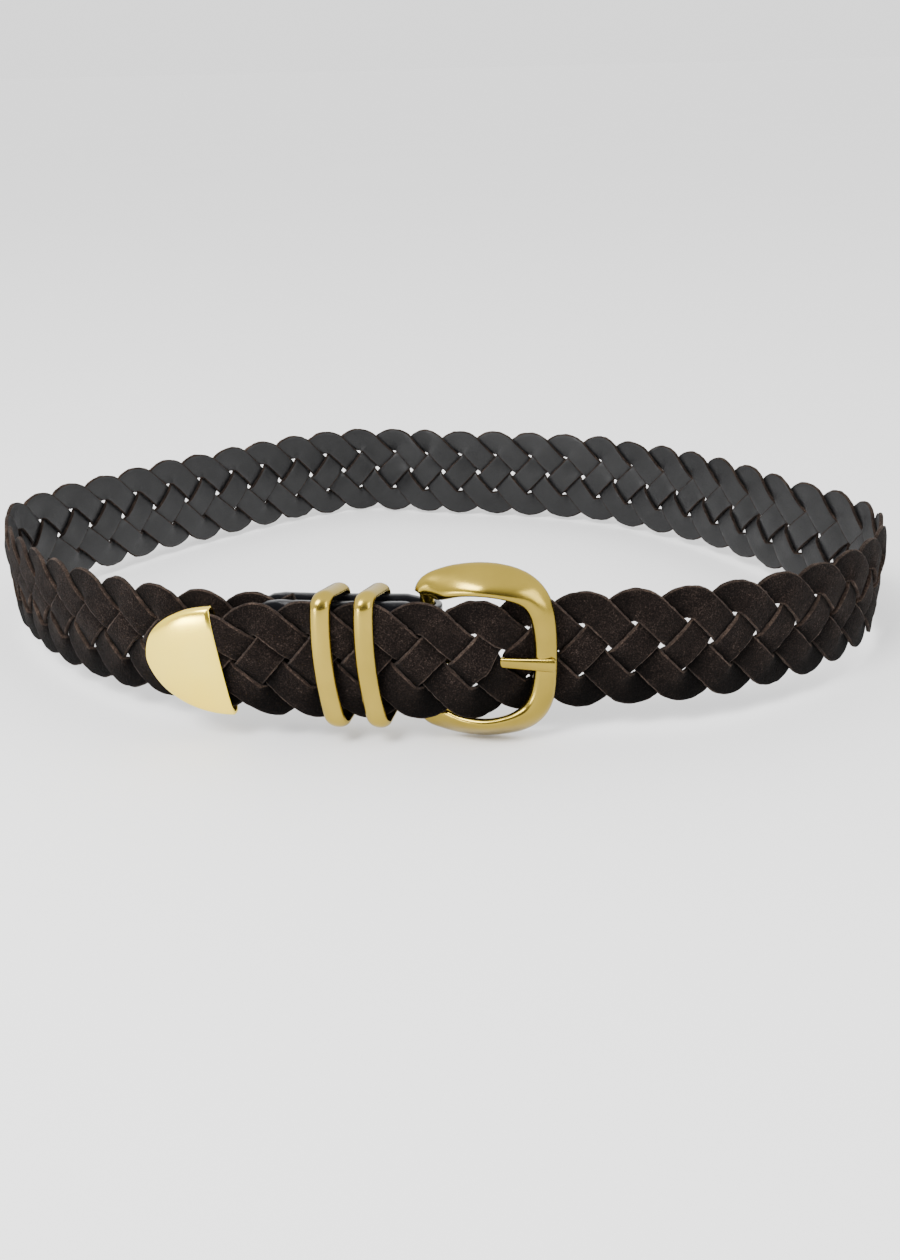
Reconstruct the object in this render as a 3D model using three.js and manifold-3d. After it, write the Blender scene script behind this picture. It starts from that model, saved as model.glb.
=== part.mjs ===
// Braided leather belt with a cast brass buckle, fastened in a loop and standing on its lower edge.
// Units are millimetres and +Z is up. Seen from the front, along +Y, the buckle faces the viewer.
// Every piece is first laid out on a straight belt: x runs along the strap to the viewer's right,
// y points in towards the waist and z is the height over the strap's middle line. wrap() then bends
// the straight belt round the loop.

import * as THREE from 'three';
import { mergeVertices } from 'three/addons/utils/BufferGeometryUtils.js';
import Module from 'manifold-3d';

const wasm = await Module();
wasm.setup();

// The loop that the strap's middle line follows, seen from above. Angle 270 is the front.
// reach is a share of the half width.
const LOOP_HALF_WIDTH = 155.5;
const LOOP = [
  { angle: 270, reach: 0.739 },
  { angle: 290, reach: 0.797 },
  { angle: 310, reach: 0.929 },
  { angle: 330, reach: 1.034 },
  { angle: 343, reach: 1.058 },
  { angle: 352, reach: 1.019 },
  { angle: 2, reach: 0.91 },
  { angle: 15, reach: 0.836 },
  { angle: 30, reach: 0.788 },
  { angle: 50, reach: 0.745 },
  { angle: 72, reach: 0.696 },
  { angle: 88, reach: 0.702 },
  { angle: 103, reach: 0.779 },
  { angle: 118, reach: 0.77 },
  { angle: 138, reach: 0.773 },
  { angle: 158, reach: 0.844 },
  { angle: 180, reach: 0.981 },
  { angle: 205, reach: 0.907 },
  { angle: 230, reach: 0.828 },
  { angle: 250, reach: 0.755 },
];
const LOOP_DIVISIONS = 1800;

// The four-strip flat braid.
const STRIP_COUNT = 4;
const STRIP_WIDTH = 9.6;
const STRIP_THICKNESS = 1.8;
const HOLE_WIDTH = 1.66;
const CROSSOVER_SHARE_OF_HOLE = 0.65;
const TURN_INNER_RADIUS = 2.6;
const STEEPNESS = 1.06;
const CLEARANCE = 0.3;

// The buckle tab, a strip of smooth leather folded round the heel bar.
const TAB_THICKNESS = 2;
const TAB_HALF_HEIGHT = 17.2;
const TAB_LENGTH = 53.5;
const TAB_HOLDS_BRAID = 16;
const TAB_HEEL_SHARE = 0.87;

// The buckle: a cast frame with its heel bar behind the strap and its front bar before it.
const HEEL_BAR_X = 2.5;
const HEEL_BAR_RADIUS = 2.2;
const FRAME_LENGTH = 35.3;
const FRAME_RISE = 23.2;
const FRAME_LIFT = 0.6;
const FRONT_BAR_DEPTH = 5.5;
const DIP_START = 0.3;

// The prong.
const PRONG_Z = -1.7;
const PRONG_WIDTH = 4.4;
const PRONG_THICKNESS = 2.6;
const PRONG_EYE_WALL = 1.9;
const PRONG_SEAT_DEPTH = 1.6;
const PRONG_HOLE_X = 24.5;

// The two keepers.
const KEEPER_X = [-26.1, -13.7];
const KEEPER_WIDTH = 5.9;
const KEEPER_THICKNESS = 2.3;
const KEEPER_ROOM_Z = 0.7;
const KEEPER_ROOM_Y = 0.4;
const KEEPER_FRONT_CORNER = 2.4;
const KEEPER_BACK_CORNER = 1.2;
const KEEPER_LEAN = 4;
const KEEPER_SKEW = 0.2;

// The end cap, and how the free end droops and leans towards it.
const CAP_MOUTH_X = -58.2;
const CAP_LENGTH = 22.4;
const CAP_HALF_HEIGHT = 17.2;
const CAP_WALL = 1;
const CAP_NOSE_SHARE = 0.4;
const STRIPS_IN_CAP = 15;
const DROOP_START_X = -5;
const DROOP_SLOPE_AT_CAP = 0.04;
const LEAN_START_X = -3;
const LEAN_AT_CAP = 0.16;
const SPRING_START_X = -27;
const FREE_END_SPRINGS_OUT = 2.8;

// Finishes.
const SUEDE = { color: 0x2a1d17, roughness: 0.95, metalness: 0 };
const BLACK_LEATHER = { color: 0x15151a, roughness: 0.35, metalness: 0 };
const BRASS = { color: 0xcdb067, roughness: 0.32, metalness: 1 };

// What follows from the sizes above.
const PITCH = Math.SQRT2 * (STRIP_WIDTH + HOLE_WIDTH);
const TURN_RADIUS = STRIP_WIDTH / 2 + TURN_INNER_RADIUS;
const TURN_CENTRE_Z = PITCH - Math.SQRT2 * TURN_RADIUS;
const BRAID_HALF_HEIGHT = STEEPNESS * (TURN_CENTRE_Z + TURN_RADIUS + STRIP_WIDTH / 2);
const LAYER_OFFSET = (STRIP_THICKNESS + CLEARANCE) / 2;
const BRAID_HALF_THICKNESS = LAYER_OFFSET + STRIP_THICKNESS / 2;
const TAB_LAYER_Y = Math.max(
  BRAID_HALF_THICKNESS + CLEARANCE + TAB_THICKNESS / 2,
  HEEL_BAR_RADIUS + CLEARANCE + TAB_THICKNESS / 2,
);
const OVERLAP_OFFSET = TAB_LAYER_Y + TAB_THICKNESS / 2 + 2 * CLEARANCE + BRAID_HALF_THICKNESS;
const FRONT_BAR_X = HEEL_BAR_X + FRAME_LENGTH;
const FRONT_BAR_OUT = BRAID_HALF_THICKNESS + CLEARANCE + FRONT_BAR_DEPTH / 2;
const CAP_HALF_THICKNESS = BRAID_HALF_THICKNESS + CLEARANCE + CAP_WALL;
const DROOP = DROOP_SLOPE_AT_CAP / (2 * (DROOP_START_X - CAP_MOUTH_X));

const clamp = (x, low, high) => Math.min(high, Math.max(low, x));
const smooth = (t) => t * t * (3 - 2 * t);
const ramp = (x, from, to) => smooth(clamp((x - from) / (to - from), 0, 1));
const radians = THREE.MathUtils.degToRad;

// The loop as a curve, and the way round it.
const loop = new THREE.CatmullRomCurve3(
  LOOP.map(({ angle, reach }) => new THREE.Vector3(
    LOOP_HALF_WIDTH * reach * Math.cos(radians(angle)),
    LOOP_HALF_WIDTH * reach * Math.sin(radians(angle)),
    0,
  )),
  true,
);
loop.arcLengthDivisions = LOOP_DIVISIONS;
const LOOP_LENGTH = loop.getLength();

function wrap({ x, y, z }) {
  const share = (((x / LOOP_LENGTH) % 1) + 1) % 1;
  const point = loop.getPointAt(share);
  const along = loop.getTangentAt(share);
  return new THREE.Vector3(point.x - along.y * y, point.y + along.x * y, z);
}

// The strap's own line on the straight belt: it lies over the tab up to the buckle, then dips
// behind the front bar, and its free end droops.
const STRAP_START_X = CAP_MOUTH_X - STRIPS_IN_CAP;
const STRAP_END_X = LOOP_LENGTH + HEEL_BAR_X - TAB_LENGTH + TAB_HOLDS_BRAID;
const WINDOW = { from: HEEL_BAR_X - 4, to: FRONT_BAR_X + 4 };

function strapOffset(x) {
  const sprung = FREE_END_SPRINGS_OUT * ramp(-x, -SPRING_START_X, CAP_LENGTH - CAP_MOUTH_X);
  return OVERLAP_OFFSET * (1 - ramp(x, HEEL_BAR_X + DIP_START * FRAME_LENGTH, FRONT_BAR_X)) + sprung;
}

function droopAt(x) {
  const bent = clamp(DROOP_START_X - x, 0, DROOP_START_X - CAP_MOUTH_X);
  const straight = Math.max(0, CAP_MOUTH_X - x);
  return -DROOP * bent * bent - DROOP_SLOPE_AT_CAP * straight;
}

// The free end's upper edge leans back from the buckle, more and more up to the cap.
function leanAt(x) {
  return LEAN_AT_CAP * clamp((LEAN_START_X - x) / (LEAN_START_X - CAP_MOUTH_X), 0, 1);
}

// The braid is pressed narrower where it enters the cap.
const CAP_MOUTH_HALF_HEIGHT = CAP_HALF_HEIGHT - CAP_WALL - CLEARANCE;
function narrowing(x) {
  return 1 - (1 - CAP_MOUTH_HALF_HEIGHT / BRAID_HALF_HEIGHT) * ramp(-x, -CAP_MOUTH_X - PITCH, -CAP_MOUTH_X);
}

// The prong pushes the strips apart, up and down and out and in.
const PUSH_HEIGHT = 1.9;
const PUSH_REACH = 5.5;
const BULGE = 2.4;
function pushedByProng({ x, y, z }) {
  const from = x - PRONG_HOLE_X;
  const over = z - PRONG_Z;
  const near = Math.exp(-((from / PUSH_REACH) ** 2)) * Math.exp(-((over / PUSH_REACH) ** 2));
  const bulge = BULGE * Math.tanh(from / (PUSH_REACH / 2)) * near;
  return { x, y: y + bulge, z: z + PUSH_HEIGHT * Math.tanh(over) * near };
}

// A point of the free strap or of what is on it, from the straight belt to the loop.
function wrapOnStrap({ x, y, z }) {
  const height = z * narrowing(x);
  const pushed = pushedByProng({ x, y: y - strapOffset(x), z: height });
  return wrap({ x: x - leanAt(x) * height, y: pushed.y, z: droopAt(x) + pushed.z });
}

// Triangle lists. A ring is a closed row of points, and a loft joins rings of equal length.
function meshOf(corners) {
  const geometry = new THREE.BufferGeometry();
  const positions = corners.flatMap(({ x, y, z }) => [x, y, z]);
  geometry.setAttribute('position', new THREE.Float32BufferAttribute(positions, 3));
  return geometry;
}

function fan(ring, flipped) {
  const corners = [];
  for (let i = 1; i + 1 < ring.length; i++) {
    corners.push(ring[0], ...(flipped ? [ring[i + 1], ring[i]] : [ring[i], ring[i + 1]]));
  }
  return corners;
}

function loft(rings, closed = false) {
  const corners = [];
  const spans = closed ? rings.length : rings.length - 1;
  for (let i = 0; i < spans; i++) {
    const a = rings[i];
    const b = rings[(i + 1) % rings.length];
    a.forEach((_, j) => {
      const k = (j + 1) % a.length;
      corners.push(a[j], a[k], b[k], a[j], b[k], b[j]);
    });
  }
  if (!closed) corners.push(...fan(rings[0], true), ...fan(rings[rings.length - 1], false));
  return meshOf(corners);
}

// Two rows of points that run side by side, with different numbers of points.
function stitch(first, second) {
  const corners = [];
  let i = 0;
  let j = 0;
  while (i + 1 < first.length || j + 1 < second.length) {
    const nextFirst = (i + 1) / (first.length - 1);
    const nextSecond = (j + 1) / (second.length - 1);
    if (j + 1 >= second.length || (i + 1 < first.length && nextFirst <= nextSecond)) {
      corners.push(first[i], first[i + 1], second[j]);
      i++;
    } else {
      corners.push(first[i], second[j + 1], second[j]);
      j++;
    }
  }
  return corners;
}

// A flat strip: each section has an outer face row and an inner face row, from its lower edge up.
function strip(sections) {
  const corners = [];
  for (let i = 0; i + 1 < sections.length; i++) {
    const a = sections[i];
    const b = sections[i + 1];
    const last = (row) => row[row.length - 1];
    corners.push(...stitch(b.outer, a.outer), ...stitch(a.inner, b.inner));
    corners.push(...stitch([a.outer[0], a.inner[0]], [b.outer[0], b.inner[0]]));
    corners.push(...stitch([last(a.inner), last(a.outer)], [last(b.inner), last(b.outer)]));
  }
  const endCap = ({ outer, inner }) => stitch(outer, inner);
  const first = sections[0];
  const final = sections[sections.length - 1];
  corners.push(...endCap(first));
  corners.push(...stitch(final.inner, final.outer));
  return meshOf(corners);
}

// Cuts and joins.
function solidOf(geometry) {
  const bare = mergeVertices(geometry.clone().deleteAttribute('normal').deleteAttribute('uv'), 1e-3);
  return new wasm.Manifold(new wasm.Mesh({
    numProp: 3,
    vertProperties: bare.attributes.position.array,
    triVerts: new Uint32Array(bare.index.array),
  }));
}

function geometryOf(solid) {
  const { vertProperties, triVerts } = solid.getMesh();
  const geometry = new THREE.BufferGeometry();
  geometry.setAttribute('position', new THREE.BufferAttribute(vertProperties, 3));
  geometry.setIndex(new THREE.BufferAttribute(triVerts, 1));
  return geometry.toNonIndexed();
}

const largestOf = (solid) => solid.decompose().sort((a, b) => b.volume() - a.volume())[0];

function mapped(geometry, place) {
  const moved = geometry.index ? geometry.toNonIndexed() : geometry.clone();
  const position = moved.attributes.position;
  for (let i = 0; i < position.count; i++) {
    const { x, y, z } = place({ x: position.getX(i), y: position.getY(i), z: position.getZ(i) });
    position.setXYZ(i, x, y, z);
  }
  return moved;
}

// The angle in a turn at which a strip's point, at that radius, starts to lie over the next strip.
function overlapAngle(radius) {
  const shift = Math.SQRT2 * (TURN_INNER_RADIUS - HOLE_WIDTH);
  const across = (Math.sqrt(Math.max(0, 2 * radius ** 2 - shift ** 2)) - shift) / 2;
  return Math.asin(clamp(across / radius, 0.1, 0.7));
}

// One full swing of a strip, from its top turn to the next: where its middle is, which way its
// upper edge lies, and on which face of the braid its lower and upper edge run, from -1 to 1.
function swing() {
  const sections = [];
  const innerAngle = overlapAngle(TURN_INNER_RADIUS);
  const outerAngle = overlapAngle(TURN_RADIUS + STRIP_WIDTH / 2);
  const angles = [-outerAngle, -innerAngle, 0, innerAngle, outerAngle];
  const faceAt = (angle, full) => Math.sin((Math.PI / 2) * clamp(angle / full, -1, 1));
  const turn = (x, up) => {
    for (const angle of angles) {
      const insideEdge = up * faceAt(angle, innerAngle);
      const outsideEdge = up * faceAt(angle, outerAngle);
      sections.push({
        x: x + TURN_RADIUS * Math.sin(angle),
        z: up * (TURN_CENTRE_Z + TURN_RADIUS * Math.cos(angle)),
        edge: { x: up * Math.sin(angle), z: Math.cos(angle) },
        lower: up > 0 ? insideEdge : outsideEdge,
        upper: up > 0 ? outsideEdge : insideEdge,
      });
    }
  };
  const crossing = (x, z, down, from) => {
    for (const side of [-1, 1]) {
      const step = (side * CROSSOVER_SHARE_OF_HOLE * HOLE_WIDTH) / (2 * Math.SQRT2);
      const face = -side * from;
      sections.push({
        x: x + step,
        z: z - down * step,
        edge: { x: down * Math.SQRT1_2, z: Math.SQRT1_2 },
        lower: face,
        upper: face,
      });
    }
  };
  turn(0, 1);
  crossing(0.75 * PITCH, PITCH / 4, 1, 1);
  crossing(1.25 * PITCH, -PITCH / 4, 1, -1);
  turn(2 * PITCH, -1);
  crossing(2.75 * PITCH, -PITCH / 4, -1, -1);
  crossing(3.25 * PITCH, PITCH / 4, -1, 1);
  return sections;
}

// The strip's sections from one end of the strap to the other. In the buckle's window, where the
// strap dips and the prong comes through, they stand closer and have more points.
const TOP_TURN_X = PRONG_HOLE_X - PITCH / 2;
const WINDOW_STEP = 2.7;
const WINDOW_POINTS = 4;

function between(a, b, t) {
  const mix = (p, q) => p + (q - p) * t;
  const edge = { x: mix(a.edge.x, b.edge.x), z: mix(a.edge.z, b.edge.z) };
  const length = Math.hypot(edge.x, edge.z);
  return {
    x: mix(a.x, b.x),
    z: mix(a.z, b.z),
    edge: { x: edge.x / length, z: edge.z / length },
    lower: mix(a.lower, b.lower),
    upper: mix(a.upper, b.upper),
  };
}

function stripSections(index) {
  const one = swing();
  const firstSwing = Math.floor((STRAP_START_X - TOP_TURN_X) / (4 * PITCH)) - 1;
  const lastSwing = Math.ceil((STRAP_END_X - TOP_TURN_X) / (4 * PITCH)) + 1;
  const coarse = [];
  for (let turn = firstSwing; turn <= lastSwing; turn++) {
    const x = TOP_TURN_X + (4 * turn + index) * PITCH;
    coarse.push(...one.map((section) => ({ ...section, x: section.x + x })));
  }
  const kept = coarse.filter(({ x }) => x >= STRAP_START_X && x <= STRAP_END_X);
  const fine = [];
  kept.forEach((section, i) => {
    fine.push(section);
    const next = kept[i + 1];
    if (!next) return;
    const inWindow = (x) => x > WINDOW.from && x < WINDOW.to;
    if (!inWindow(section.x) && !inWindow(next.x)) return;
    const steps = Math.ceil(Math.hypot(next.x - section.x, next.z - section.z) / WINDOW_STEP);
    for (let step = 1; step < steps; step++) fine.push(between(section, next, step / steps));
  });
  return fine;
}

function braidStrip(index) {
  return strip(stripSections(index).map((section) => {
    const inWindow = section.x > WINDOW.from && section.x < WINDOW.to;
    const points = inWindow ? WINDOW_POINTS : 2;
    const row = (face) => Array.from({ length: points }, (_, i) => {
      const t = i / (points - 1);
      const across = (t - 0.5) * STRIP_WIDTH;
      const layer = section.lower + (section.upper - section.lower) * t;
      return wrapOnStrap({
        x: section.x + across * section.edge.x,
        y: -layer * LAYER_OFFSET - (face * STRIP_THICKNESS) / 2,
        z: STEEPNESS * (section.z + across * section.edge.z),
      });
    });
    return { outer: row(1), inner: row(-1) };
  }));
}

// The buckle frame, one casting: a round heel bar, two broad arms that lean back at their outer
// edges, and a front bar. Shares: along of the frame's length, rise of its rise, out of the
// front bar's height over the strap's middle line, width of the broad arm, depth of the front bar.
const ARM_WIDTH = 9.8;
const FRAME_SECTIONS = [
  { along: 0, rise: 0, out: 0, width: 0.449, depth: 0.8, lean: 0 },
  { along: 0, rise: 0.75, out: 0, width: 0.449, depth: 0.8, lean: 0 },
  { along: -0.03, rise: 0.795, out: 0.04, width: 0.56, depth: 0.76, lean: 6 },
  { along: 0.02, rise: 0.865, out: 0.2, width: 0.8, depth: 0.76, lean: 20 },
  { along: 0.12, rise: 0.925, out: 0.42, width: 1.0, depth: 0.76, lean: 38 },
  { along: 0.27, rise: 0.99, out: 0.62, width: 1.12, depth: 0.76, lean: 49 },
  { along: 0.45, rise: 1.014, out: 0.8, width: 1.22, depth: 0.76, lean: 53 },
  { along: 0.62, rise: 0.988, out: 0.88, width: 1.2, depth: 0.76, lean: 50 },
  { along: 0.77, rise: 0.915, out: 0.94, width: 1.08, depth: 0.8, lean: 42 },
  { along: 0.88, rise: 0.785, out: 0.97, width: 0.92, depth: 0.84, lean: 31 },
  { along: 0.945, rise: 0.59, out: 1, width: 0.8, depth: 0.88, lean: 20 },
  { along: 0.975, rise: 0.33, out: 1, width: 0.73, depth: 0.92, lean: 10 },
  { along: 0.985, rise: 0, out: 1, width: 0.7, depth: 0.94, lean: 3 },
];
const FRAME_POINTS = 12;

function frameRings() {
  const upper = FRAME_SECTIONS.map((section) => ({ ...section, side: 1 }));
  const lower = FRAME_SECTIONS.slice(1, -1).reverse().map((section) => ({ ...section, side: -1 }));
  const path = [...upper, ...lower].map(({ along, rise, out, width, depth, lean, side }) => ({
    x: HEEL_BAR_X + along * FRAME_LENGTH,
    y: -out * FRONT_BAR_OUT,
    z: FRAME_LIFT + side * rise * FRAME_RISE,
    halfWidth: (width * ARM_WIDTH) / 2,
    halfDepth: (depth * FRONT_BAR_DEPTH) / 2,
    lean: radians(lean),
  }));
  return path.map((here, i) => {
    const before = path[(i + path.length - 1) % path.length];
    const after = path[(i + 1) % path.length];
    const way = new THREE.Vector3(after.x - before.x, 0, after.z - before.z).normalize();
    const aside = new THREE.Vector3(-way.z, 0, way.x);
    const back = new THREE.Vector3(0, 1, 0);
    const major = aside.clone().multiplyScalar(Math.cos(here.lean)).addScaledVector(back, Math.sin(here.lean));
    const minor = back.clone().multiplyScalar(Math.cos(here.lean)).addScaledVector(aside, -Math.sin(here.lean));
    return Array.from({ length: FRAME_POINTS }, (_, j) => {
      const angle = (2 * Math.PI * j) / FRAME_POINTS;
      return new THREE.Vector3(here.x, here.y, here.z)
        .addScaledVector(major, here.halfWidth * Math.cos(angle))
        .addScaledVector(minor, -here.halfDepth * Math.sin(angle));
    });
  });
}

// The prong: an eye round the heel bar and a shank that comes through the braid and ends in a
// seat in the front bar. extra widens it all round, to cut its room out of other pieces.
const EYE_INNER_RADIUS = HEEL_BAR_RADIUS + CLEARANCE;
const EYE_OUTER_RADIUS = EYE_INNER_RADIUS + PRONG_EYE_WALL;
const SHANK_END_X = FRONT_BAR_X + 0.4 * ARM_WIDTH * 0.51;
const SHANK_START_OUT = 1.4;
const SHANK_END_OUT = FRONT_BAR_OUT + FRONT_BAR_DEPTH / 2 - PRONG_SEAT_DEPTH + CLEARANCE + PRONG_THICKNESS / 2;
const EYE_HEIGHT = 0.8 * PRONG_WIDTH;
const EYE_SEGMENTS = 12;

function shank(extra) {
  const startX = HEEL_BAR_X + (EYE_INNER_RADIUS + EYE_OUTER_RADIUS) / 2;
  const slope = (SHANK_END_OUT - SHANK_START_OUT) / (SHANK_END_X - startX);
  const ring = (x, share) => {
    const halfHeight = (PRONG_WIDTH * share) / 2 + extra;
    const halfDepth = (PRONG_THICKNESS * share) / 2 + extra;
    const out = SHANK_START_OUT + slope * (x - startX);
    return [[1, 0.5], [0.5, 1], [-0.5, 1], [-1, 0.5], [-1, -0.5], [-0.5, -1], [0.5, -1], [1, -0.5]]
      .map(([up, back]) => new THREE.Vector3(x, -out + back * halfDepth, PRONG_Z - up * halfHeight));
  };
  const middle = PRONG_HOLE_X - PRONG_WIDTH / 2;
  return loft([
    ring(startX, 0.65),
    ring(middle, 0.7),
    ring(SHANK_END_X - 0.8, 1),
    ring(SHANK_END_X + extra, 0.8),
  ]);
}

function eye(inner, outer, height) {
  const shape = new THREE.Shape().absarc(0, 0, outer, 0, 2 * Math.PI, false);
  if (inner > 0) shape.holes.push(new THREE.Path().absarc(0, 0, inner, 0, 2 * Math.PI, true));
  return new THREE.ExtrudeGeometry(shape, { depth: height, bevelEnabled: false, curveSegments: EYE_SEGMENTS })
    .translate(HEEL_BAR_X, 0, PRONG_Z - height / 2);
}

function prongSolid() {
  return solidOf(mapped(eye(EYE_INNER_RADIUS, EYE_OUTER_RADIUS, EYE_HEIGHT), wrap))
    .add(solidOf(mapped(shank(0), wrap)));
}

// The tab: one layer on each side of the braid's fixed end, joined round the heel bar. Its tongue
// shaped ends narrow by these shares, it is narrower and centred on the frame round the heel bar,
// and it has a slot for the prong's eye.
const TONGUE = [
  { from: 0, height: 0.5 },
  { from: 0.018, height: 0.72 },
  { from: 0.055, height: 0.88 },
  { from: 0.11, height: 0.97 },
  { from: 0.18, height: 1 },
];
const TAB_STEPS = 7;
const BEND_STEPS = 6;

function tab() {
  const endX = HEEL_BAR_X - TAB_LENGTH;
  const straight = [
    ...TONGUE.map(({ from, height }) => ({ x: endX + from * TAB_LENGTH, height })),
    ...Array.from({ length: TAB_STEPS }, (_, i) => ({
      x: endX + TAB_LENGTH * (0.18 + (0.82 * (i + 1)) / TAB_STEPS),
      height: i === TAB_STEPS - 1 ? TAB_HEEL_SHARE : 1,
    })),
  ];
  const section = (x, y, across, height) => {
    const lift = FRAME_LIFT * ramp(x, HEEL_BAR_X - TAB_LENGTH / TAB_STEPS, HEEL_BAR_X);
    const at = (side, up) => wrap({
      x: x + side * across.x * (TAB_THICKNESS / 2),
      y: y + side * across.y * (TAB_THICKNESS / 2),
      z: lift + up * height * TAB_HALF_HEIGHT,
    });
    return { outer: [at(1, -1), at(1, 1)], inner: [at(-1, -1), at(-1, 1)] };
  };
  const front = straight.map(({ x, height }) => section(x, -TAB_LAYER_Y, { x: 0, y: -1 }, height));
  const bend = Array.from({ length: BEND_STEPS - 1 }, (_, i) => {
    const angle = (Math.PI * (i + 1)) / BEND_STEPS - Math.PI / 2;
    const across = { x: Math.cos(angle), y: Math.sin(angle) };
    return section(HEEL_BAR_X + across.x * TAB_LAYER_Y, across.y * TAB_LAYER_Y, across, TAB_HEEL_SHARE);
  });
  const back = straight.reverse().map(({ x, height }) => section(x, TAB_LAYER_Y, { x: 0, y: 1 }, height));
  const folded = solidOf(strip([...front, ...bend, ...back]));
  const slot = new THREE.BoxGeometry(
    4 * TAB_LAYER_Y,
    2 * (TAB_LAYER_Y + TAB_THICKNESS),
    EYE_HEIGHT + 4 * CLEARANCE,
  ).translate(HEEL_BAR_X + TAB_LAYER_Y / 2, 0, PRONG_Z);
  return largestOf(folded.subtract(solidOf(mapped(slot, wrap))));
}

// A keeper: a domed brass band bent round the tab and the strap, and a little askew on them.
const BAND_PROFILE = [
  { across: -1, out: 0 },
  { across: 1, out: 0 },
  { across: 0.92, out: 0.5 },
  { across: 0.5, out: 0.92 },
  { across: 0, out: 1 },
  { across: -0.5, out: 0.92 },
  { across: -0.92, out: 0.5 },
];
const CORNER_STEPS = 4;

function keeper(x) {
  const strapHeight = BRAID_HALF_HEIGHT + KEEPER_ROOM_Z;
  const tabHeight = TAB_HALF_HEIGHT + KEEPER_ROOM_Z + CLEARANCE;
  const outY = -(OVERLAP_OFFSET + BRAID_HALF_THICKNESS + KEEPER_ROOM_Y);
  const inY = TAB_LAYER_Y + TAB_THICKNESS / 2 + KEEPER_ROOM_Y;
  const corner = (y, z, round, start) => ({ y, z, round, start });
  const corners = [
    corner(inY - KEEPER_BACK_CORNER, tabHeight - KEEPER_BACK_CORNER, KEEPER_BACK_CORNER, 0),
    corner(outY + KEEPER_FRONT_CORNER, strapHeight - KEEPER_FRONT_CORNER, KEEPER_FRONT_CORNER, 90),
    corner(outY + KEEPER_FRONT_CORNER, -strapHeight + KEEPER_FRONT_CORNER, KEEPER_FRONT_CORNER, 180),
    corner(inY - KEEPER_BACK_CORNER, -tabHeight + KEEPER_BACK_CORNER, KEEPER_BACK_CORNER, 270),
  ];
  const lean = Math.tan(radians(KEEPER_LEAN));
  const rings = corners.flatMap(({ y, z, round, start }) => Array.from({ length: CORNER_STEPS + 1 }, (_, i) => {
    const angle = radians(start + (90 * i) / CORNER_STEPS);
    return BAND_PROFILE.map(({ across, out }) => {
      const reach = round + out * KEEPER_THICKNESS;
      const height = z + reach * Math.sin(angle);
      const depth = y + reach * Math.cos(angle);
      return wrap({
        x: x + (across * KEEPER_WIDTH) / 2 - lean * height + KEEPER_SKEW * (depth - outY),
        y: depth,
        z: height,
      });
    });
  }));
  return loft(rings, true);
}

// The end cap: a flat thimble with a half round nose, open at its mouth.
const CAP_ANGLES = [5, 20, 36, 54, 72, 90];
const CAP_POINTS = 16;
const CAP_ROOM_STEPS = 12;

function capRing(angle, less, lengthLess) {
  const length = CAP_LENGTH - lengthLess;
  const height = (CAP_HALF_HEIGHT - less) * Math.sin(radians(angle));
  const nose = CAP_NOSE_SHARE + (1 - CAP_NOSE_SHARE) * Math.sin(radians(angle));
  const depth = CAP_HALF_THICKNESS * nose - less;
  const x = CAP_MOUTH_X - length * Math.cos(radians(angle));
  return Array.from({ length: CAP_POINTS }, (_, i) => {
    const turn = (2 * Math.PI * i) / CAP_POINTS;
    const squared = (value, power) => Math.sign(value) * Math.abs(value) ** power;
    return { x, y: depth * squared(Math.sin(turn), 0.5), z: -height * squared(Math.cos(turn), 0.85) };
  });
}

// On the strap, but not narrowed with the braid.
function wrapCap({ x, y, z }) {
  return wrapOnStrap({ x, y, z: z / narrowing(x) });
}

function cap() {
  const outside = CAP_ANGLES.map((angle) => capRing(angle, 0, 0));
  const inside = CAP_ANGLES.map((angle) => capRing(angle, CAP_WALL, 2 * CAP_WALL)).reverse();
  return loft([...outside, ...inside].map((ring) => ring.map(wrapCap)));
}

// What the strips must stay inside of, within the cap.
function capRoom() {
  const rings = CAP_ANGLES.map((angle) => capRing(angle, CAP_WALL + CLEARANCE, 2 * CAP_WALL + CLEARANCE));
  const mouth = rings[rings.length - 1].map((point) => ({ ...point, x: point.x + 2 * CLEARANCE }));
  const room = solidOf(loft([...rings, mouth].map((ring) => ring.map(wrapCap))));
  const size = [2 * CAP_LENGTH, 2 * CAP_HALF_THICKNESS, 4 * CAP_HALF_HEIGHT];
  const block = new THREE.BoxGeometry(...size, CAP_ROOM_STEPS)
    .translate(CAP_MOUTH_X - CAP_LENGTH + CLEARANCE, 0, 0);
  return solidOf(mapped(block, wrapCap)).subtract(room);
}

// The finished belt.
const belt = new THREE.Group();
belt.name = 'braided_belt';

function add(name, geometry, finish) {
  const flat = geometry.index ? geometry.toNonIndexed() : geometry;
  flat.computeVertexNormals();
  const mesh = new THREE.Mesh(flat, new THREE.MeshStandardMaterial(finish));
  mesh.name = name;
  belt.add(mesh);
}

const prongRoom = solidOf(mapped(shank(CLEARANCE), wrap));
const capCut = capRoom();
for (let index = 0; index < STRIP_COUNT; index++) {
  const whole = solidOf(braidStrip(index));
  add(`braid_strip_${index + 1}`, geometryOf(largestOf(whole.subtract(capCut).subtract(prongRoom))), SUEDE);
}
add('buckle_tab', geometryOf(tab()), BLACK_LEATHER);
const frame = solidOf(loft(frameRings().map((ring) => ring.map(wrap)), true));
add('buckle_frame', geometryOf(largestOf(frame.subtract(prongRoom))), BRASS);
add('buckle_prong', geometryOf(prongSolid()), BRASS);
KEEPER_X.forEach((x, i) => add(`keeper_${i + 1}`, keeper(x), BRASS));
add('end_cap', cap(), BRASS);

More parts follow.
